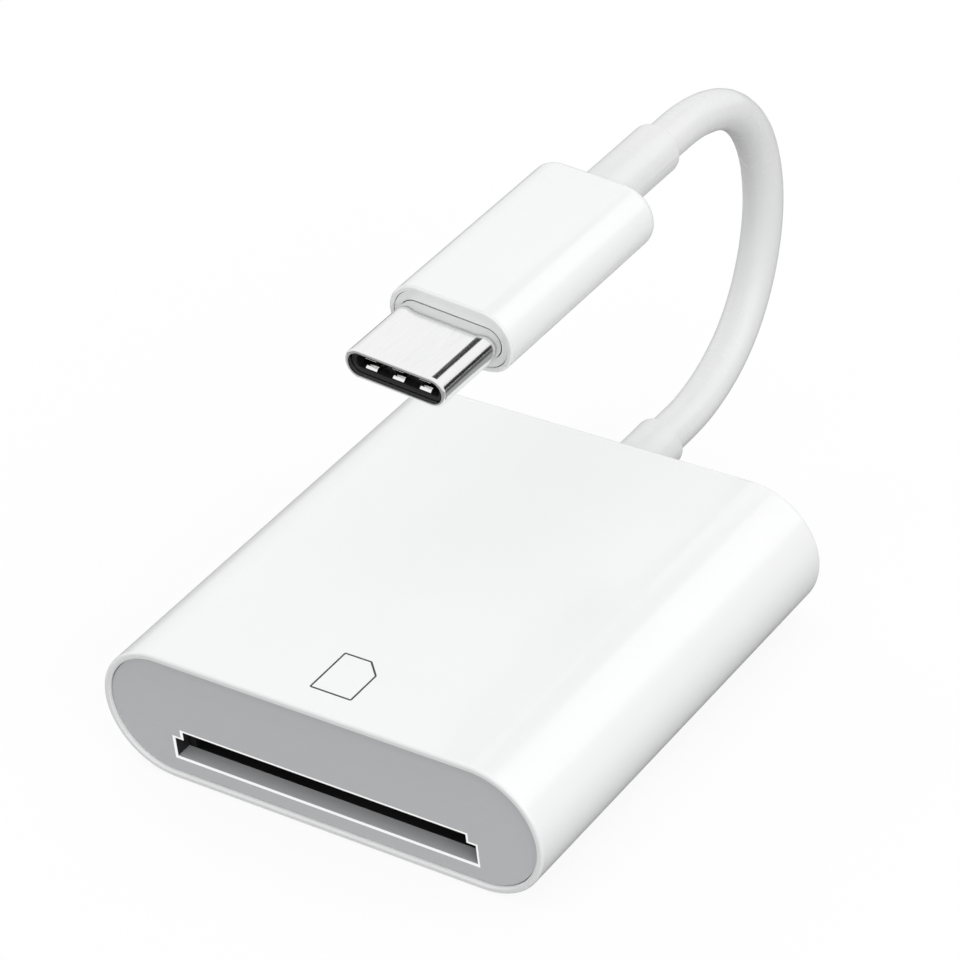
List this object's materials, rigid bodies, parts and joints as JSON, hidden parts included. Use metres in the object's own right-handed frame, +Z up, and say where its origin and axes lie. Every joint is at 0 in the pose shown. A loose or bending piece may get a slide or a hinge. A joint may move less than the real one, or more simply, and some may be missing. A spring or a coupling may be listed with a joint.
{
  "type": "usb memory card reader",
  "caption": "Flat white memory card reader with round sides, a gray front plate with a stepped card slot, and a short captive lead ending in a reversible plug.",
  "frame": {"origin": "middle of the case's underside", "axes": "+X to the right of someone who faces the card slot, +Y from the slot to the lead, +Z up"},
  "size_m": [0.037, 0.0623, 0.0319],
  "materials": {
    "white_plastic": "glossy white moulded plastic",
    "plate_metal": "fine satin gray with a bright cut edge round the slot",
    "white_rubber": "smooth glossy white jacket",
    "plug_steel": "bright drawn steel",
    "black_plastic": "matte black moulding",
    "sheet_steel": "rolled sheet, nickel plated",
    "contact_gold": "gold plated spring strip",
    "board_green": "solder mask over glass laminate",
    "ceramic": "fired ceramic with tinned ends",
    "wire_plastic": "coloured wire insulation"
  },
  "bodies": {
    "root": {"case_sleeve": "white_plastic", "plug_housing": "white_plastic", "plug_face_ring": "white_plastic", "front_plate": "plate_metal", "case_boot": "white_rubber", "plug_boot": "white_rubber", "cable": "white_rubber", "plug_shell": "plug_steel", "plug_ground_springs": "plug_steel", "plug_latch_springs": "plug_steel", "plug_back_shell": "plug_steel", "card_socket_base": "black_plastic", "plug_insulator": "black_plastic", "controller_chip": "black_plastic", "voltage_regulator": "black_plastic", "card_socket_cover": "sheet_steel", "clock_crystal": "sheet_steel", "plug_cable_ferrule": "sheet_steel", "card_contacts": "contact_gold", "card_switch_springs": "contact_gold", "plug_contacts_upper": "contact_gold", "plug_contacts_lower": "contact_gold", "circuit_board": "board_green", "plug_circuit_board": "board_green", "capacitors": "ceramic", "resistors": "ceramic", "case_lead_wires": "wire_plastic", "plug_lead_wires": "wire_plastic"}
  },
  "joints": []
}
